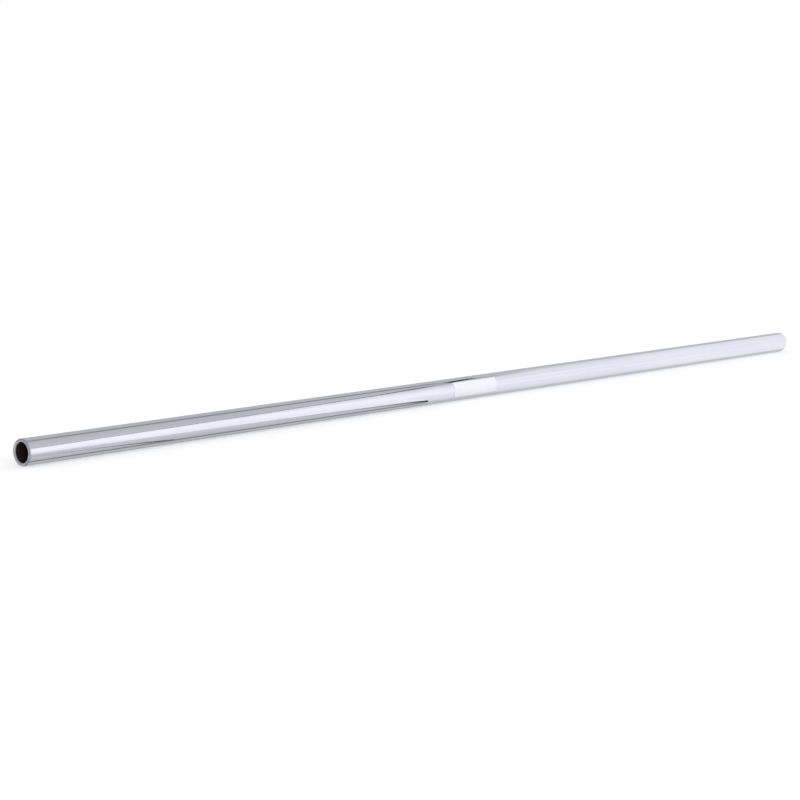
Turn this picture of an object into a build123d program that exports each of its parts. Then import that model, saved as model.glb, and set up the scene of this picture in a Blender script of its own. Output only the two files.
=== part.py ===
from build123d import *
from math import degrees
import os

# Straight chrome-plated copper tube that joins an angle valve to a tap or a cistern.
# It lies on its side along X, touching Z = 0, with the middle of its length over the origin.
# Lengths are in millimetres and angles in degrees.

# Drawn tube, 10 x 1, cut to a stock length
tube_length = 500.0
tube_diameter = 10.0
tube_wall = 1.0

# The wheel that cut it rolled the outer edge over and turned the mouth in, at both ends.
# Reaming off the burr rounded the inner edge as well, up to a narrow flat ring,
# and left a short straight land behind that round.
rim_round = 0.55
end_flat = 0.15
mouth_turn_in = 0.2
mouth_depth = 1.6
mouth_land = 0.2

# Blank adhesive label, wrapped part of the way round on the front of the tube
label_length = 28.5
label_width = 6.8
label_thickness = 0.1
label_corner = 0.4
label_from_middle = -6.6
label_facing_up = 8.0

# Sizes that follow from the ones above
tube_radius = tube_diameter / 2
bore_radius = tube_radius - tube_wall
mouth_radius = bore_radius - mouth_turn_in
mouth_round = tube_wall + mouth_turn_in - end_flat - rim_round
half_length = tube_length / 2
label_span = degrees(label_width / tube_radius)
label_start = 180 - label_facing_up - label_span / 2

tube_axis = Axis((0, 0, tube_radius), (1, 0, 0))
section_plane = Plane.XZ.shift_origin((0, 0, tube_radius))
label_plane = Plane.YZ.shift_origin((0, 0, tube_radius)).offset(label_from_middle)

# Half of the wall's section, upright over the axis and from the middle to one end,
# mirrored and turned about the axis. The bore closes to the mouth in a tangent arc.
with BuildPart() as tube:
    with BuildSketch(section_plane):
        with BuildLine():
            bore = Line((0, bore_radius), (half_length - mouth_depth, bore_radius))
            land_start = (half_length - mouth_round - mouth_land, mouth_radius)
            mouth = TangentArc(bore @ 1, land_start, tangent=(1, 0))
            land = Line(mouth @ 1, (half_length - mouth_round, mouth_radius))
            reamed = RadiusArc(land @ 1, (half_length, mouth_radius + mouth_round), -mouth_round)
            face = Line(reamed @ 1, (half_length, tube_radius - rim_round))
            rim = RadiusArc(face @ 1, (half_length - rim_round, tube_radius), -rim_round)
            Line(rim @ 1, (0, tube_radius))
            mirror(about=Plane.YZ)
        make_face()
    revolve(axis=tube_axis)
tube.part.label = "tube"

# The label is a sheet bent to the tube's own radius, so it touches all over, with rounded corners.
with BuildPart() as label:
    with BuildSketch(label_plane):
        with BuildLine():
            back = CenterArc((0, 0), tube_radius, label_start, label_span)
            front = CenterArc((0, 0), tube_radius + label_thickness, label_start, label_span)
            Line(back @ 0, front @ 0)
            Line(back @ 1, front @ 1)
        make_face()
    extrude(amount=label_length / 2, both=True)
    corners = label.edges().filter_by(GeomType.LINE).filter_by(Axis.X, reverse=True)
    fillet(corners, radius=label_corner)
label.part.label = "label"

os.makedirs("parts", exist_ok=True)
export_step(tube.part, "parts/tube.step")
export_step(label.part, "parts/label.step")
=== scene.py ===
import math

import bmesh
import bpy
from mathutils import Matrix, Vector


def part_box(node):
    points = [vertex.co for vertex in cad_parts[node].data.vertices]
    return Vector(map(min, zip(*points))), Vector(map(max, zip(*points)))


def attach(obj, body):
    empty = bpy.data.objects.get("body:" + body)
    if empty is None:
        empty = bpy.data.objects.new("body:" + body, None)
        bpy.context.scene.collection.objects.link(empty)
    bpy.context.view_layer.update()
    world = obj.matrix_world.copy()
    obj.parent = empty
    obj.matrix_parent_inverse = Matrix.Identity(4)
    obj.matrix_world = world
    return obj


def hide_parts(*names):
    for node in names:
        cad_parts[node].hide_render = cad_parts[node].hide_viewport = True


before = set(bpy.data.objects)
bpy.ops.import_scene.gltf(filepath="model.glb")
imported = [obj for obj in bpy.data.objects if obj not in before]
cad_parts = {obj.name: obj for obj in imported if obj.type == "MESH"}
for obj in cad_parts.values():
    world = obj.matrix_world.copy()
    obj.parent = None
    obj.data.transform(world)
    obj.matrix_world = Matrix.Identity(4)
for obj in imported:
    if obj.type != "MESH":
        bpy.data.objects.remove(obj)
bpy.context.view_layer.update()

scene = bpy.context.scene
mm = 0.001
print("frame loaded:", sorted(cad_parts))

# place and main sizes of both pieces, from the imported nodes
tubeLow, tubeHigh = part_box("tube")
tubeLength = tubeHigh[0] - tubeLow[0]
tubeRadius = (tubeHigh[2] - tubeLow[2]) / 2
labelLow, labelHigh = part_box("label")


def hexToLinear(code):
    values = [int(code[i:i + 2], 16) / 255 for i in (1, 3, 5)]
    return tuple(v / 12.92 if v <= 0.04045 else ((v + 0.055) / 1.055) ** 2.4 for v in values) + (1.0,)


# how often patterns of these sizes in mm repeat in a metre, along X, Y and Z
def perMetre(*sizes):
    return tuple(1 / (size * mm) for size in sizes)


# settings are properties of the node or values of its inputs, links are inputs and what feeds them
def addNode(tree, kind, settings=None, links=None):
    node = tree.nodes.new(kind)
    for name, value in (settings or {}).items():
        if isinstance(name, str) and hasattr(node, name):
            setattr(node, name, value)
        else:
            node.inputs[name].default_value = value
    for name, socket in (links or {}).items():
        tree.links.new(socket, node.inputs[name])
    return node


def newMaterial(name):
    material = bpy.data.materials.new(name)
    material.use_nodes = True
    material.node_tree.nodes.clear()
    return material, material.node_tree


def newObject(name, mesh, materials):
    for material in materials:
        mesh.materials.append(material)
    piece = bpy.data.objects.new(name, mesh)
    scene.collection.objects.link(piece)
    return piece


# Chrome plate on drawn copper tube, polished before plating. A hard blue-white mirror, with long faint
# lines left by the drawing die and a thin wiped haze that softens it in places.
# The polish dulls towards the ends.
chromeLook = {
    "bright": "#EAECF5",
    "hazed": "#E3E5F0",
    "drawLine": 0.9,          # mm across; real ones are about 0.03, drawn coarser so that they show
    "drawLineLength": 140.0,  # mm
    "drawDepth": 0.004,       # mm
    "hazePatch": 22.0,        # mm round the tube
    "hazeLength": 62.86,      # mm along it
    "hazeFrom": 0.14,         # level of the pattern where the haze starts
    "hazeFull": 0.36,
    "roughLow": 0.035,
    "roughHigh": 0.085,
    "endDull": 16.0,          # mm; the polishing wheel lifts off towards the ends
    "endRough": 0.11,         # what that adds to the roughness
    "endGrey": 2.0,           # mm next to the cut that turn neutral
    "endTint": "#E8E8EA",
}


def makeChrome():
    look = chromeLook
    half = tubeLength / 2
    material, tree = newMaterial("chromePlate_polishedDrawnTube")
    place = addNode(tree, "ShaderNodeTexCoord")
    alongLines = addNode(tree, "ShaderNodeMapping", {
        "Scale": perMetre(look["drawLineLength"], look["drawLine"], look["drawLine"])},
        {"Vector": place.outputs["Object"]})
    lines = addNode(tree, "ShaderNodeTexNoise", {"Scale": 1.0, "Detail": 3.0, "Roughness": 0.6},
                    {"Vector": alongLines.outputs["Vector"]})
    alongHaze = addNode(tree, "ShaderNodeMapping", {
        "Scale": perMetre(look["hazeLength"], look["hazePatch"], look["hazePatch"])},
        {"Vector": place.outputs["Object"]})
    haze = addNode(tree, "ShaderNodeTexNoise", {"Scale": 1.0, "Detail": 5.0, "Roughness": 0.62},
                   {"Vector": alongHaze.outputs["Vector"]})
    wiped = addNode(tree, "ShaderNodeMath", {"operation": "MULTIPLY"},
                    {0: haze.outputs["Fac"], 1: lines.outputs["Fac"]})
    hazeMask = addNode(tree, "ShaderNodeMapRange", {
        "interpolation_type": "SMOOTHSTEP", "From Min": look["hazeFrom"], "From Max": look["hazeFull"]},
        {"Value": wiped.outputs["Value"]})
    colour = addNode(tree, "ShaderNodeMix", {
        "data_type": "RGBA", 6: hexToLinear(look["bright"]), 7: hexToLinear(look["hazed"])},
        {0: hazeMask.outputs["Result"]})
    rough = addNode(tree, "ShaderNodeMapRange", {"To Min": look["roughLow"], "To Max": look["roughHigh"]},
                    {"Value": hazeMask.outputs["Result"]})
    split = addNode(tree, "ShaderNodeSeparateXYZ", {}, {"Vector": place.outputs["Object"]})
    fromMiddle = addNode(tree, "ShaderNodeMath", {"operation": "ABSOLUTE"}, {0: split.outputs["X"]})
    dulled, grey = [addNode(tree, "ShaderNodeMapRange", {
        "interpolation_type": "SMOOTHSTEP", "From Min": half - look[reach] * mm, "From Max": half},
        {"Value": fromMiddle.outputs["Value"]}) for reach in ("endDull", "endGrey")]
    endColour = addNode(tree, "ShaderNodeMix", {"data_type": "RGBA", 7: hexToLinear(look["endTint"])},
                        {0: grey.outputs["Result"], 6: colour.outputs[2]})
    endRough = addNode(tree, "ShaderNodeMath", {"operation": "MULTIPLY_ADD", 1: look["endRough"]},
                       {0: dulled.outputs["Result"], 2: rough.outputs["Result"]})
    drawn = addNode(tree, "ShaderNodeBump", {"Strength": 1.0, "Distance": look["drawDepth"] * mm},
                    {"Height": lines.outputs["Fac"]})
    surface = addNode(tree, "ShaderNodeBsdfPrincipled", {"Metallic": 1.0}, {
        "Base Color": endColour.outputs[2], "Roughness": endRough.outputs["Value"],
        "Normal": drawn.outputs["Normal"]})
    addNode(tree, "ShaderNodeOutputMaterial", {}, {"Surface": surface.outputs["BSDF"]})
    return material


# The same chrome over the cut and reamed ends. They were never polished, so they are a neutral satin
# with fine rings from the cutting wheel and the reamer, brighter at the reamed mouth
# and duller on the rolled rim. The end nearer the viewer gets darker copies of these colours: painted
# shade.
cutLook = {
    "farReamed": "#EFEFF0",
    "farRolled": "#DADADB",
    # the near end's colours are darker copies of the far end's: painted shade
    "nearReamed": "#D2D3D7",
    "nearRolled": "#BCBDC2",
    "reamedTo": 3.9,     # mm from the axis
    "rolledFrom": 4.7,   # mm from the axis
    "ring": 0.16,        # mm across; real ones are about 0.05, drawn coarser so that they show
    "ringDepth": 0.02,   # mm
    "blotch": 1.3,       # mm
    "blotchShare": 0.5,  # how far the blotches shift the change from bright to dull
    "wornFrom": 0.35,    # level of the pattern where a blotch starts
    "wornFull": 0.65,
    "roughLow": 0.48,
    "roughHigh": 0.68,
}


def makeCutEnd():
    look = cutLook
    share = look["blotchShare"]
    material, tree = newMaterial("chromePlate_reamedCut")
    place = addNode(tree, "ShaderNodeTexCoord")
    fromAxis = addNode(tree, "ShaderNodeVectorMath", {"operation": "SUBTRACT", 1: (0.0, 0.0, tubeRadius)},
                       {0: place.outputs["Object"]})
    across = addNode(tree, "ShaderNodeVectorMath", {"operation": "MULTIPLY", 1: (0.0, 1.0, 1.0)},
                     {0: fromAxis.outputs["Vector"]})
    radius = addNode(tree, "ShaderNodeVectorMath", {"operation": "LENGTH"}, {0: across.outputs["Vector"]})
    inRings = addNode(tree, "ShaderNodeMath", {"operation": "MULTIPLY", 1: 1 / (look["ring"] * mm)},
                      {0: radius.outputs["Value"]})
    rings = addNode(tree, "ShaderNodeTexNoise", {"noise_dimensions": "1D", "Scale": 1.0, "Detail": 2.0},
                    {"W": inRings.outputs["Value"]})
    blotches = addNode(tree, "ShaderNodeTexNoise", {"Scale": 1 / (look["blotch"] * mm), "Detail": 4.0},
                       {"Vector": place.outputs["Object"]})
    worn = addNode(tree, "ShaderNodeMapRange", {
        "From Min": look["wornFrom"], "From Max": look["wornFull"]}, {"Value": blotches.outputs["Fac"]})
    outwards = addNode(tree, "ShaderNodeMapRange", {
        "interpolation_type": "SMOOTHSTEP", "From Min": look["reamedTo"] * mm,
        "From Max": look["rolledFrom"] * mm, "To Min": -share / 2, "To Max": 1 - share / 2},
        {"Value": radius.outputs["Value"]})
    dull = addNode(tree, "ShaderNodeMath", {"operation": "MULTIPLY_ADD", 1: share, "use_clamp": True},
                   {0: worn.outputs["Result"], 2: outwards.outputs["Result"]})
    farColour, nearShadedColour = [addNode(tree, "ShaderNodeMix", {
        "data_type": "RGBA", 6: hexToLinear(look[end + "Reamed"]), 7: hexToLinear(look[end + "Rolled"])},
        {0: dull.outputs["Value"]}) for end in ("far", "near")]
    split = addNode(tree, "ShaderNodeSeparateXYZ", {}, {"Vector": place.outputs["Object"]})
    # the end at negative x, nearer the viewer, takes the darker painted-shade colours
    shadedNearEnd = addNode(tree, "ShaderNodeMath", {"operation": "LESS_THAN", 1: 0.0}, {0: split.outputs["X"]})
    colour = addNode(tree, "ShaderNodeMix", {"data_type": "RGBA"}, {
        0: shadedNearEnd.outputs["Value"], 6: farColour.outputs[2], 7: nearShadedColour.outputs[2]})
    rough = addNode(tree, "ShaderNodeMapRange", {"To Min": look["roughLow"], "To Max": look["roughHigh"]},
                    {"Value": worn.outputs["Result"]})
    turned = addNode(tree, "ShaderNodeBump", {"Strength": 1.0, "Distance": look["ringDepth"] * mm},
                     {"Height": rings.outputs["Fac"]})
    surface = addNode(tree, "ShaderNodeBsdfPrincipled", {"Metallic": 1.0}, {
        "Base Color": colour.outputs[2], "Roughness": rough.outputs["Result"],
        "Normal": turned.outputs["Normal"]})
    addNode(tree, "ShaderNodeOutputMaterial", {}, {"Surface": surface.outputs["BSDF"]})
    return material


# Bare copper inside the tube, drawn and then oxidised. Almost black brown with a dull shine, the oxide
# darkened to paint the shade deep in the bore, and the plating ends in a ragged edge just inside the
# mouth.
boreLook = {
    # the oxide's browns are darkened almost to black: partly the real oxide, partly painted shade inside
    # the bore
    "shadedOxide": "#201D1B",
    "shadedWarm": "#332722",
    "plating": "#C4C6CE",
    "platingReach": 0.5,   # mm in from the mouth
    "platingRagged": 0.9,  # mm that its edge wanders
    "streak": 0.7,         # mm across
    "streakLength": 14.0,  # mm
    "streakDepth": 0.01,   # mm
    "roughPlate": 0.28,
    "roughOxide": 0.62,
}


def makeBore():
    look = boreLook
    material, tree = newMaterial("oxidisedCopper_shadedBore")
    place = addNode(tree, "ShaderNodeTexCoord")
    alongStreaks = addNode(tree, "ShaderNodeMapping", {
        "Scale": perMetre(look["streakLength"], look["streak"], look["streak"])},
        {"Vector": place.outputs["Object"]})
    streaks = addNode(tree, "ShaderNodeTexNoise", {"Scale": 1.0, "Detail": 4.0},
                      {"Vector": alongStreaks.outputs["Vector"]})
    split = addNode(tree, "ShaderNodeSeparateXYZ", {}, {"Vector": place.outputs["Object"]})
    fromMiddle = addNode(tree, "ShaderNodeMath", {"operation": "ABSOLUTE"}, {0: split.outputs["X"]})
    fromMouth = addNode(tree, "ShaderNodeMath", {"operation": "SUBTRACT", 0: tubeLength / 2},
                        {1: fromMiddle.outputs["Value"]})
    ragged = addNode(tree, "ShaderNodeMath", {"operation": "MULTIPLY_ADD", 1: look["platingRagged"] * mm},
                     {0: streaks.outputs["Fac"], 2: fromMouth.outputs["Value"]})
    bare = addNode(tree, "ShaderNodeMapRange", {
        "interpolation_type": "SMOOTHSTEP", "From Min": look["platingReach"] * mm,
        "From Max": (look["platingReach"] + look["platingRagged"]) * mm},
        {"Value": ragged.outputs["Value"]})
    shadedOxide = addNode(tree, "ShaderNodeMix", {
        "data_type": "RGBA", 6: hexToLinear(look["shadedOxide"]), 7: hexToLinear(look["shadedWarm"])},
        {0: streaks.outputs["Fac"]})
    colour = addNode(tree, "ShaderNodeMix", {"data_type": "RGBA", 6: hexToLinear(look["plating"])},
                     {0: bare.outputs["Result"], 7: shadedOxide.outputs[2]})
    metal = addNode(tree, "ShaderNodeMapRange", {"To Min": 1.0, "To Max": 0.0},
                    {"Value": bare.outputs["Result"]})
    rough = addNode(tree, "ShaderNodeMapRange", {
        "To Min": look["roughPlate"], "To Max": look["roughOxide"]}, {"Value": bare.outputs["Result"]})
    drawn = addNode(tree, "ShaderNodeBump", {"Strength": 1.0, "Distance": look["streakDepth"] * mm},
                    {"Height": streaks.outputs["Fac"]})
    surface = addNode(tree, "ShaderNodeBsdfPrincipled", {}, {
        "Base Color": colour.outputs[2], "Metallic": metal.outputs["Result"],
        "Roughness": rough.outputs["Result"], "Normal": drawn.outputs["Normal"]})
    addNode(tree, "ShaderNodeOutputMaterial", {}, {"Surface": surface.outputs["BSDF"]})
    return material


# White polypropylene label film, calendered and plain. Soft sheen with a faint orange peel,
# a few shallow ripples from being wrapped by hand, and a greyer cut edge: painted shade along the edge
# and dust that the glue picks up.
filmLook = {
    "face": "#F6F7FC",
    "shade": "#F1F2F8",
    # greyer rim along the cut edge: painted shade of the edge, with dust from the glue
    "edge": "#E3E4E9",
    "edgeShadeAndDustWidth": 0.35,    # mm
    "peel": 0.35,         # mm; real peel is about 0.1, drawn coarser so that it shows
    "peelDepth": 0.0012,  # mm
    "peelLow": 0.3,       # levels of the peel that are smoothest and roughest
    "peelHigh": 0.7,
    "ripple": 4.5,        # mm
    "rippleDepth": 0.02,  # mm
    "roughLow": 0.26,
    "roughHigh": 0.38,
    "ior": 1.49,
}


def makeFilm():
    look = filmLook
    material, tree = newMaterial("polypropyleneFilm_calendered")
    place = addNode(tree, "ShaderNodeTexCoord")
    peel = addNode(tree, "ShaderNodeTexNoise", {"Scale": 1 / (look["peel"] * mm), "Detail": 2.0},
                   {"Vector": place.outputs["Object"]})
    ripple = addNode(tree, "ShaderNodeTexNoise", {"Scale": 1 / (look["ripple"] * mm), "Detail": 1.0},
                     {"Vector": place.outputs["Object"]})
    inFromEdge = addNode(tree, "ShaderNodeAttribute", {"attribute_name": "inFromEdge"})
    # mask of the greyer rim along the cut edge: painted edge shade and dust
    edge = addNode(tree, "ShaderNodeMapRange", {
        "interpolation_type": "SMOOTHSTEP", "From Min": 0.0, "From Max": look["edgeShadeAndDustWidth"] * mm,
        "To Min": 1.0, "To Max": 0.0}, {"Value": inFromEdge.outputs["Fac"]})
    face = addNode(tree, "ShaderNodeMix", {
        "data_type": "RGBA", 6: hexToLinear(look["face"]), 7: hexToLinear(look["shade"])},
        {0: ripple.outputs["Fac"]})
    colour = addNode(tree, "ShaderNodeMix", {"data_type": "RGBA", 7: hexToLinear(look["edge"])},
                     {0: edge.outputs["Result"], 6: face.outputs[2]})
    rough = addNode(tree, "ShaderNodeMapRange", {
        "From Min": look["peelLow"], "From Max": look["peelHigh"],
        "To Min": look["roughLow"], "To Max": look["roughHigh"]}, {"Value": peel.outputs["Fac"]})
    rippled = addNode(tree, "ShaderNodeBump", {"Strength": 1.0, "Distance": look["rippleDepth"] * mm},
                      {"Height": ripple.outputs["Fac"]})
    peeled = addNode(tree, "ShaderNodeBump", {"Strength": 1.0, "Distance": look["peelDepth"] * mm},
                     {"Height": peel.outputs["Fac"], "Normal": rippled.outputs["Normal"]})
    surface = addNode(tree, "ShaderNodeBsdfPrincipled", {"IOR": look["ior"]}, {
        "Base Color": colour.outputs[2], "Roughness": rough.outputs["Result"],
        "Normal": peeled.outputs["Normal"]})
    addNode(tree, "ShaderNodeOutputMaterial", {}, {"Surface": surface.outputs["BSDF"]})
    return material


# Tube, in mm
tubeShape = {
    "wall": 1.0,
    "rimRound": 0.55,          # outer edge rolled over by the cutting wheel
    "mouthTurnIn": 0.2,        # the mouth is narrower than the bore
    "mouthRound": 0.5,         # inner edge, rounded by the reamer
    "mouthLand": 0.2,          # straight part behind the round
    "mouthDepth": 1.6,         # how far in it opens to the bore
    "wallRings": (3.0, 0.3),   # the wall's last rings, behind the rim, keep its shading flat
    "boreRings": (0.3, 6.0),   # and the bore's, behind the turned-in mouth
    "edgeWander": 0.05,        # the round is taken off by hand, so its width wanders
    # waves of that at each end: how many go round, their strength and their turn in radians
    "farWaves": ((3, 1.0, 0.0), (7, 0.7, 1.1), (13, 0.5, 0.4)),
    "nearWaves": ((3, 1.0, 1.9), (7, 0.7, 5.47), (13, 0.5, 0.4)),
    "stepsRound": 240,
    "rimSteps": 12,
    "mouthSteps": 8,
    "lengthCuts": 4,           # the bake map lays the wall out in this many strips
}
# shares of the tube's bake map
tubeBake = {"margin": 0.006, "wallHeight": 0.19, "boreHeight": 0.06}


# Half of the wall's section from the middle to one end:
# distance from the middle, radius, surface and how much of the wander it takes
def tubeSection():
    shape = tubeShape
    half = tubeLength / 2
    rim = shape["rimRound"] * mm
    bore = tubeRadius - shape["wall"] * mm
    mouth = bore - shape["mouthTurnIn"] * mm
    edge = shape["mouthRound"] * mm
    land = edge + shape["mouthLand"] * mm
    depth = shape["mouthDepth"] * mm
    cuts = shape["lengthCuts"] // 2
    quarter = [math.pi / 2 * i / shape["rimSteps"] for i in range(shape["rimSteps"] + 1)]
    section = [(half * i / cuts, tubeRadius, "wall", 0.0) for i in range(cuts)]
    section += [(half - rim - back * mm, tubeRadius, "wall", 0.0) for back in shape["wallRings"]]
    for turn in quarter:
        x = half - rim * (1 - math.sin(turn))
        r = tubeRadius - rim * (1 - math.cos(turn))
        section.append((x, r, "cut" if turn > 0 else "wall", 0.0))
    for turn in quarter:
        x = half - edge * (1 - math.cos(turn))
        r = mouth + edge * (1 - math.sin(turn))
        section.append((x, r, "cut", math.sin(2 * turn)))
    section.append((half - land, mouth, "cut", 0.0))
    run = depth - land
    drop = bore - mouth
    bend = (run * run + drop * drop) / (2 * drop)  # radius of the turned-in mouth
    sweep = 2 * math.atan2(drop, run)
    for i in range(shape["mouthSteps"]):
        turn = sweep * (1 - (i + 1) / shape["mouthSteps"])
        x = half - depth + bend * math.sin(turn)
        r = bore - bend * (1 - math.cos(turn))
        section.append((x, r, "bore", 0.0))
    section += [(half - depth - back * mm, bore, "bore", 0.0) for back in shape["boreRings"]]
    section.append((0.0, bore, "bore", 0.0))
    return section


# The bake map: the wall in strips one above the other, then the bore, and the two ends side by side
# on top. Each entry is where a band of faces starts and stops along u, and the part of v
# that the way round the tube fills.
def uvStrips(loop):
    shape = tubeShape
    margin = tubeBake["margin"]
    wallHeight = tubeBake["wallHeight"]
    half = tubeLength / 2
    cuts = shape["lengthCuts"]
    wallTo = half - (shape["rimRound"] + shape["wallRings"][-1]) * mm
    boreTo = half - (shape["mouthDepth"] + shape["boreRings"][0]) * mm
    strips = []
    endBands = {}
    walked = [0.0, 0.0]  # along the section of the near and the far end
    for i, (x, r, kind, _) in enumerate(loop):
        nextX, nextR, nextKind, _ = loop[(i + 1) % len(loop)]
        middle = (x + nextX) / 2
        if kind == nextKind == "wall" and abs(middle) < wallTo:
            strip = min(int((middle + half) / tubeLength * cuts), cuts - 1)
            start = tubeLength * strip / cuts - half
            width = tubeLength / cuts
            low = strip * wallHeight
            high = low + wallHeight
        elif kind == nextKind == "bore" and abs(middle) < boreTo:
            start = -half
            width = tubeLength
            low = cuts * wallHeight
            high = low + tubeBake["boreHeight"]
        else:
            side = 1 if middle > 0 else 0
            start = walked[side]
            walked[side] += math.hypot(nextX - x, nextR - r)
            endBands[i] = (side, start, walked[side])
            strips.append(None)
            continue
        along = [margin + (1 - 2 * margin) * (value - start) / width for value in (x, nextX)]
        strips.append((along, (low + margin, high - margin)))
    endLow = cuts * wallHeight + tubeBake["boreHeight"]
    for i, (side, start, stop) in endBands.items():
        scale = (0.5 - 2 * margin) / walked[side]
        left = 0.5 * side + margin
        strips[i] = ([left + start * scale, left + stop * scale], (endLow + margin, 1 - margin))
    return strips


def makeTube():
    shape = tubeShape
    section = tubeSection()
    # whole loop: out along the right half, back through the bore, and the same mirrored
    loop = section + [(-x, r, kind, wander) for x, r, kind, wander in section[-2:0:-1]]
    steps = shape["stepsRound"]
    build = bmesh.new()
    rings = []
    for x, r, _, wander in loop:
        waves = shape["farWaves"] if x > 0 else shape["nearWaves"]
        full = sum(much for _, much, _ in waves)
        ring = []
        for k in range(steps):
            angle = 2 * math.pi * k / steps
            wobble = sum(much * math.sin(count * angle + turn) for count, much, turn in waves) / full
            radius = r + wander * shape["edgeWander"] * mm * (wobble + 1) / 2
            place = (x, radius * math.cos(angle), tubeRadius + radius * math.sin(angle))
            ring.append(build.verts.new(place))
        rings.append(ring)
    surfaces = {"wall": 0, "cut": 1, "bore": 2}
    uvMap = build.loops.layers.uv.new("OFBake")
    for i, (along, across) in enumerate(uvStrips(loop)):
        j = (i + 1) % len(loop)
        kind = loop[i][2] if loop[i][2] == loop[j][2] else "cut"
        for k in range(steps):
            n = (k + 1) % steps
            face = build.faces.new((rings[i][k], rings[j][k], rings[j][n], rings[i][n]))
            face.smooth = True
            face.material_index = surfaces[kind]
            for corner, (a, b) in zip(face.loops, ((0, k), (1, k), (1, k + 1), (0, k + 1))):
                corner[uvMap].uv = (along[a], across[0] + (across[1] - across[0]) * b / steps)
    bmesh.ops.recalc_face_normals(build, faces=build.faces)
    mesh = bpy.data.meshes.new("chromeTube")
    build.to_mesh(mesh)
    build.free()
    mesh.update()
    return newObject("chromeTube", mesh, [makeChrome(), makeCutEnd(), makeBore()])


tube = makeTube()
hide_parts("tube")
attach(tube, "root")
print("tube:", len(tube.data.polygons), "faces")

# Label, in mm and degrees
labelShape = {
    "width": 6.8,       # round the tube
    "facingUp": 8.0,    # its middle, above the tube's front
    "thickness": 0.1,
    "corner": 0.4,
    "cornerSteps": 6,
    "edgeSoft": 0.045,  # the cut edge is pressed down and rounded
    "edgeRow": 0.3,     # a row at this share of the rounding, so that it shows
    "rows": 40,
    "columns": 120,
    "sharpFrom": 50.0,  # edges turned by more than this are shaded sharp
}
# shares of the label's bake map
labelBake = {"margin": 0.01, "faceHeight": 0.44, "edgeFrom": 0.91, "edgeTo": 0.99}


def makeLabel():
    shape = labelShape
    half = (labelHigh[0] - labelLow[0]) / 2
    middle = (labelHigh[0] + labelLow[0]) / 2
    halfWidth = shape["width"] * mm / 2
    corner = shape["corner"] * mm
    soft = shape["edgeSoft"] * mm
    thick = shape["thickness"] * mm

    # rows or columns: close together at both edges and round the corners, even between.
    # The corner's first step is left out, because the soft edge has its own.
    def spread(reach, count):
        quarter = [math.pi / 2 * i / shape["cornerSteps"] for i in range(2, shape["cornerSteps"] + 1)]
        ends = [0.0, shape["edgeRow"] * soft, soft] + [corner * (1 - math.cos(turn)) for turn in quarter]
        start = -reach + max(ends)
        even = [start + (reach - max(ends) - start) * i / count for i in range(1, count)]
        places = [-reach + e for e in ends] + even + [reach - e for e in ends]
        return sorted({round(v, 9) for v in places})  # places that fall together become one

    def reachAt(across):
        fromEdge = halfWidth - abs(across)
        if fromEdge >= corner:
            return half
        return half - corner + math.sqrt(max(corner ** 2 - (corner - fromEdge) ** 2, 0.0))

    def inFromEdge(along, across):
        dx = abs(along) - (half - corner)
        dy = abs(across) - (halfWidth - corner)
        outside = math.hypot(max(dx, 0.0), max(dy, 0.0))
        return corner - outside - min(max(dx, dy), 0.0)

    rowsAt = spread(halfWidth, shape["rows"])
    columnsAt = spread(half, shape["columns"])
    facing = math.radians(180 - shape["facingUp"])
    build = bmesh.new()
    depth = build.verts.layers.float.new("inFromEdge")

    def addPoint(along, across, top):
        inside = max(inFromEdge(along, across), 0.0)
        rounding = soft - math.sqrt(max(soft ** 2 - (soft - min(inside, soft)) ** 2, 0.0))
        radius = tubeRadius + (thick - rounding if top else 0.0)
        angle = facing - across / tubeRadius
        place = (middle + along, radius * math.cos(angle), tubeRadius + radius * math.sin(angle))
        vert = build.verts.new(place)
        vert[depth] = inside
        return vert

    sheets = []
    for top in (True, False):
        sheet = []
        for across in rowsAt:
            scale = reachAt(across) / half
            sheet.append([addPoint(along * scale, across, top) for along in columnsAt])
        sheets.append(sheet)
    upper, lower = sheets
    uvMap = build.loops.layers.uv.new("OFBake")

    def addFace(verts, places):
        face = build.faces.new(verts)
        face.smooth = True
        for spot, place in zip(face.loops, places):
            spot[uvMap].uv = place

    rows = len(rowsAt)
    columns = len(columnsAt)
    margin = labelBake["margin"]
    wide = 1 - 2 * margin
    tall = labelBake["faceHeight"] - 2 * margin
    uAt = [margin + wide * (along + half) / (2 * half) for along in columnsAt]
    vAt = [margin + tall * (across + halfWidth) / (2 * halfWidth) for across in rowsAt]
    for sheet, lift in ((upper, 0.0), (lower, labelBake["faceHeight"])):
        for i in range(rows - 1):
            for j in range(columns - 1):
                spots = ((i, j), (i, j + 1), (i + 1, j + 1), (i + 1, j))
                addFace([sheet[a][b] for a, b in spots], [(uAt[b], vAt[a] + lift) for a, b in spots])
    border = [(0, j) for j in range(columns)]
    border += [(i, columns - 1) for i in range(1, rows)]
    border += [(rows - 1, j) for j in range(columns - 2, -1, -1)]
    border += [(i, 0) for i in range(rows - 2, 0, -1)]
    count = len(border)
    for k in range(count):
        a, b = border[k]
        c, d = border[(k + 1) % count]
        start = margin + wide * k / count
        stop = margin + wide * (k + 1) / count
        addFace((upper[a][b], lower[a][b], lower[c][d], upper[c][d]),
                ((start, labelBake["edgeTo"]), (start, labelBake["edgeFrom"]),
                 (stop, labelBake["edgeFrom"]), (stop, labelBake["edgeTo"])))
    bmesh.ops.recalc_face_normals(build, faces=build.faces)
    mesh = bpy.data.meshes.new("blankLabel")
    build.to_mesh(mesh)
    build.free()
    mesh.set_sharp_from_angle(angle=math.radians(shape["sharpFrom"]))
    return newObject("blankLabel", mesh, [makeFilm()])


label = makeLabel()
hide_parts("label")
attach(label, "root")
print("label:", len(label.data.polygons), "faces")

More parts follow.
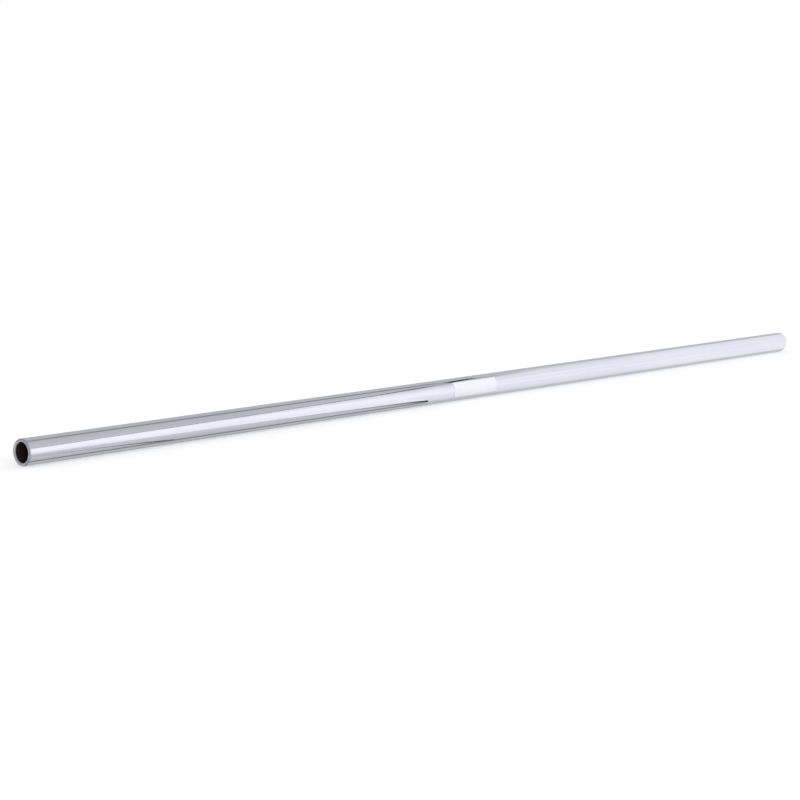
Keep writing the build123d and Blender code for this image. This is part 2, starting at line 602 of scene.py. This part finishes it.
# Camera at the photograph's angle, in metres and mm of lens
cameraSetup = {
    "place": (-0.68118, -0.57546, 0.11985),
    "towards": (0.73181, 0.66810, -0.13467),
    "lens": 90.87,
    "sensor": 36.0,
    "seesTo": 100.0,
}
cameraData = bpy.data.cameras.new("camera")
cameraData.lens = cameraSetup["lens"]
cameraData.sensor_width = cameraSetup["sensor"]
cameraData.clip_end = cameraSetup["seesTo"]
camera = bpy.data.objects.new("camera", cameraData)
camera.location = cameraSetup["place"]
camera.rotation_mode = "QUATERNION"
camera.rotation_quaternion = Vector(cameraSetup["towards"]).to_track_quat("-Z", "Y")
scene.collection.objects.link(camera)
scene.camera = camera
print("camera:", cameraSetup["lens"], "mm lens")

# Light: an even white room, seen as plain white and dimmer as a lamp,
# with one wide soft sun from the front and a little above
lightSetup = {
    "white": "#FFFFFF",
    "room": 0.75,
    "sun": 0.95,
    "sunSize": 50.0,                  # degrees
    "sunFrom": (-0.30, -0.95, 0.35),  # towards the sun
    "floor": "#E9E9E9",               # the floor's own colour
    "floorWhite": 0.325,              # what the floor adds towards white where it is looked at
    "floorReach": 30.0,               # m each way
}
white = hexToLinear(lightSetup["white"])


# 1 for rays that look at the background: from the camera, or by way of metal or glass
def lookedAt(tree):
    path = addNode(tree, "ShaderNodeLightPath")
    either = addNode(tree, "ShaderNodeMath", {"operation": "MAXIMUM"},
                     {0: path.outputs["Is Camera Ray"], 1: path.outputs["Is Glossy Ray"]})
    return addNode(tree, "ShaderNodeMath", {"operation": "MAXIMUM"},
                   {0: either.outputs["Value"], 1: path.outputs["Is Transmission Ray"]}).outputs["Value"]


world = bpy.data.worlds.new("whiteRoom")
world.use_nodes = True
scene.world = world
tree = world.node_tree
tree.nodes.clear()
lamp = addNode(tree, "ShaderNodeBackground", {"Color": white, "Strength": lightSetup["room"]})
seen = addNode(tree, "ShaderNodeBackground", {"Color": white, "Strength": 1.0})
room = addNode(tree, "ShaderNodeMixShader", {},
               {0: lookedAt(tree), 1: lamp.outputs[0], 2: seen.outputs[0]})
addNode(tree, "ShaderNodeOutputWorld", {}, {"Surface": room.outputs[0]})

sunData = bpy.data.lights.new("softSun", "SUN")
sunData.energy = lightSetup["sun"]
sunData.angle = math.radians(lightSetup["sunSize"])
sun = bpy.data.objects.new("softSun", sunData)
sun.rotation_mode = "QUATERNION"
sun.rotation_quaternion = Vector(lightSetup["sunFrom"]).to_track_quat("Z", "Y")
sun.visible_glossy = False  # the chrome shows the cards and the room instead
scene.collection.objects.link(sun)

# Seamless paper floor, rolled matt pulp. Even, without gloss.
material, tree = newMaterial("seamlessPaper_matt")
paper = addNode(tree, "ShaderNodeBsdfDiffuse", {"Color": hexToLinear(lightSetup["floor"])})
glowLevel = addNode(tree, "ShaderNodeMath", {"operation": "MULTIPLY", 1: lightSetup["floorWhite"]},
                    {0: lookedAt(tree)})
glow = addNode(tree, "ShaderNodeEmission", {"Color": white}, {"Strength": glowLevel.outputs["Value"]})
both = addNode(tree, "ShaderNodeAddShader", {}, {0: paper.outputs[0], 1: glow.outputs[0]})
addNode(tree, "ShaderNodeOutputMaterial", {}, {"Surface": both.outputs[0]})
reach = lightSetup["floorReach"]
corners = [(-reach, -reach, 0), (reach, -reach, 0), (reach, reach, 0), (-reach, reach, 0)]
mesh = bpy.data.meshes.new("floor")
mesh.from_pydata(corners, [], [(0, 1, 2, 3)])
floor = newObject("floor", mesh, [material])

# Grey and white glowing cards round the tube, which only the chrome sees: painted reflections, in metres
cardSetup = {
    "glowTint": "#FDFDFF",
    "ceiling": 0.566,
    "ceilingApart": 0.001,  # between cards that overlap up there
    "floorApart": 0.0001,   # and on the floor
}
ceilingAt = cardSetup["ceiling"]
overCeiling = ceilingAt + cardSetup["ceilingApart"]
underCeiling = ceilingAt - cardSetup["ceilingApart"]
lowest = ceilingAt - 2 * cardSetup["ceilingApart"]
onFloor = cardSetup["floorApart"]
onPaper = 2 * cardSetup["floorApart"]


# rows of corners at one height, each with x, y and how light the card is there
def flat(height, *rows):
    return [[(x, y, height, light) for x, y, light in row] for row in rows]


# each card is rows of corners: x, y, z and how light it is there
cards = {
    "ceiling": flat(
        ceilingAt,
        [(-1.6, -1.5, 0.66), (0.58, -1.5, 0.72)],
        [(-1.6, -0.4, 0.62), (0.58, -0.4, 0.62)],
        [(-1.6, 0.29, 0.50), (0.58, 0.29, 0.54)]),
    # gap along the ceiling, a little askew
    "ceilingGap": flat(
        lowest,
        [(-1.6, -0.05, 0.56), (0.588, 0.075, 0.56)],
        [(-1.6, -0.015, 0.25), (0.602, 0.125, 0.25)],
        [(-1.6, 0.025, 0.25), (0.622, 0.195, 0.25)],
        [(-1.6, 0.06, 0.52), (0.640, 0.255, 0.52)]),
    # dark end of the ceiling
    "ceilingEnd": flat(
        underCeiling,
        [(0.562, -1.5, 0.60), (0.564, -0.149, 0.50), (0.562, -0.085, 0.50)],
        [(0.588, -1.5, 0.08), (0.584, -0.149, 0.08), (0.578, -0.082, 0.10)],
        [(0.613, -1.5, 0.08), (0.602, -0.149, 0.02), (0.590, -0.090, 0.02)]),
    "backWall": [
        [(-1.6, 0.29, 0.0, 0.46), (1.8, 0.29, 0.0, 0.60)],
        [(-1.6, 0.29, ceilingAt, 0.46), (1.8, 0.29, ceilingAt, 0.64)]],
    "nearWall": [
        [(-1.6, -1.5, 0.0, 0.90), (-1.6, -1.5, ceilingAt, 0.70)],
        [(-1.6, -0.2, 0.0, 0.72), (-1.6, -0.2, ceilingAt, 0.60)],
        [(-1.6, 0.29, 0.0, 0.50), (-1.6, 0.29, ceilingAt, 0.50)]],
    "endWall": [
        [(1.3, -4.0, 0.0, 1.09), (1.3, -4.0, 1.4, 1.09)],
        [(1.3, -1.3, 0.0, 1.09), (1.3, -1.3, 1.4, 1.09)],
        [(1.3, -0.95, 0.0, 1.03), (1.3, -0.95, 1.4, 1.03)],
        [(1.3, -0.4, 0.0, 1.00), (1.3, -0.4, 1.4, 0.98)],
        [(1.3, 0.5, 0.0, 0.95), (1.3, 0.5, 1.4, 0.93)]],
    # grey flap past the ceiling's end, and the dark bar that holds it
    "flap": flat(
        overCeiling,
        [(0.57, -0.95, 0.99), (1.00, -0.95, 0.98), (1.15, -0.95, 0.98), (1.29, -0.95, 0.99)],
        [(0.57, -0.56, 0.93), (0.80, -0.56, 0.92), (0.98, -0.56, 0.94), (1.16, -0.56, 1.01)],
        [(0.57, -0.27, 0.62), (0.65, -0.27, 0.72), (0.76, -0.27, 0.89), (1.00, -0.27, 0.99)],
        [(0.57, -0.15, 0.58), (0.63, -0.15, 0.61), (0.71, -0.15, 0.86), (1.00, -0.15, 0.98)],
        [(0.57, -0.02, 0.48), (0.63, -0.02, 0.50), (0.72, -0.02, 0.90), (1.10, -0.02, 0.96)],
        [(0.57, 0.29, 0.46), (0.66, 0.29, 0.50), (0.80, 0.29, 0.72), (1.30, 0.29, 0.90)]),
    "bar": flat(
        ceilingAt,
        [(0.597, -0.060, 0.02), (0.650, 0.100, 0.05)],
        [(0.618, 0.140, 0.02), (0.695, 0.245, 0.05)]),
    # grey paper on the floor in front of the near half, with its dark edge and a fold;
    # it darkens under the tube as painted shade, and the dark strip beneath the tube is a painted contact
    # shadow
    # the rows nearest the tube darken to 0.40: painted shade under the tube
    "paper": flat(
        onFloor,
        [(-0.262, -0.0346, 0.83), (-0.262, -0.0033, 0.58), (-0.262, -0.0015, 0.40)],
        [(-0.230, -0.0285, 0.86), (-0.230, -0.0033, 0.58), (-0.230, -0.0015, 0.40)],
        [(-0.171, -0.0168, 0.76), (-0.171, -0.0033, 0.58), (-0.171, -0.0015, 0.40)],
        [(-0.124, -0.0126, 0.68), (-0.124, -0.0033, 0.58), (-0.124, -0.0015, 0.40)],
        [(-0.078, -0.0087, 0.62), (-0.078, -0.0033, 0.58), (-0.078, -0.0015, 0.40)],
        [(-0.0355, -0.0058, 0.55), (-0.0355, -0.0033, 0.58), (-0.0355, -0.0015, 0.40)]),
    "paperEdge": flat(
        onPaper,
        [(-0.130, -0.0132, 0.62), (-0.130, -0.0122, 0.60)],
        [(-0.078, -0.0087, 0.42), (-0.078, -0.0075, 0.42)],
        [(-0.048, -0.0071, 0.18), (-0.048, -0.0056, 0.18)],
        [(-0.035, -0.0060, 0.02), (-0.035, -0.0042, 0.02)]),
    "paperFold": flat(
        onPaper,
        [(-0.270, -0.0126, 0.46), (-0.270, -0.0119, 0.46)],
        [(-0.219, -0.0084, 0.34), (-0.219, -0.0076, 0.34)],
        [(-0.194, -0.0064, 0.18), (-0.194, -0.0053, 0.18)],
        [(-0.180, -0.0050, 0.05), (-0.180, -0.0040, 0.05)]),
    # dark strip on the floor right under the tube's front: painted contact shadow
    "contactShadowStrip": flat(
        onPaper,
        [(-0.262, -0.0050, 0.56), (-0.037, -0.0050, 0.56)],
        [(-0.262, -0.0045, 0.28), (-0.037, -0.0045, 0.28)],
        [(-0.262, -0.0040, 0.28), (-0.037, -0.0040, 0.28)],
        [(-0.262, -0.0036, 0.54), (-0.037, -0.0036, 0.54)]),
    # painted shadow on the floor behind the tube, darkest behind the near end, which the rolled rims turn
    # towards
    "shadowBehindCard": flat(
        onFloor,
        [(-0.262, 0.0045, 1.00), (-0.330, 0.0600, 1.00)],
        [(-0.245, 0.0045, 0.30), (-0.270, 0.0600, 0.22)],
        [(-0.200, 0.0045, 0.62), (-0.200, 0.0600, 0.70)],
        [(0.600, 0.0045, 0.70), (0.600, 0.0600, 0.80)]),
    # painted shade on the floor along the far half, darkest next to the tube
    "floorShadeFar": flat(
        onFloor,
        [(-0.036, -0.0220, 0.96), (0.030, -0.0220, 1.00), (0.265, -0.0220, 1.00)],
        [(-0.036, -0.0075, 0.89), (0.030, -0.0075, 0.97), (0.265, -0.0075, 1.01)],
        [(-0.036, -0.0060, 0.82), (0.030, -0.0060, 0.94), (0.265, -0.0060, 1.02)],
        [(-0.036, -0.0043, 0.70), (0.030, -0.0043, 0.83), (0.265, -0.0043, 0.94)],
        [(-0.036, -0.0033, 0.57), (0.030, -0.0033, 0.64), (0.265, -0.0033, 0.67)],
        [(-0.036, -0.0010, 0.55), (0.030, -0.0010, 0.59), (0.265, -0.0010, 0.58)]),
}

# Glowing card, a plain grey whose glow changes evenly from corner to corner: it paints the reflections in
# the chrome.
material, tree = newMaterial("studioCard_glowing")
cardGlow = addNode(tree, "ShaderNodeAttribute", {"attribute_name": "cardGlow"})
shade = addNode(tree, "ShaderNodeEmission", {"Color": hexToLinear(cardSetup["glowTint"])},
                {"Strength": cardGlow.outputs["Fac"]})
addNode(tree, "ShaderNodeOutputMaterial", {}, {"Surface": shade.outputs[0]})
for name, rows in cards.items():
    wide = len(rows[0])
    corners = [corner for row in rows for corner in row]
    faces = [(i * wide + j, i * wide + j + 1, (i + 1) * wide + j + 1, (i + 1) * wide + j)
             for i in range(len(rows) - 1) for j in range(wide - 1)]
    mesh = bpy.data.meshes.new(name)
    mesh.from_pydata([corner[:3] for corner in corners], [], faces)
    levels = mesh.attributes.new("cardGlow", "FLOAT", "POINT")
    for spot, corner in zip(levels.data, corners):
        spot.value = corner[3]
    card = newObject(name, mesh, [material])
    card.visible_camera = False
    card.visible_diffuse = False
    card.visible_shadow = False
    card.visible_transmission = False
    card.visible_volume_scatter = False
print("stage: floor, room, sun and", len(cards), "cards")

scene.view_settings.view_transform = "Standard"
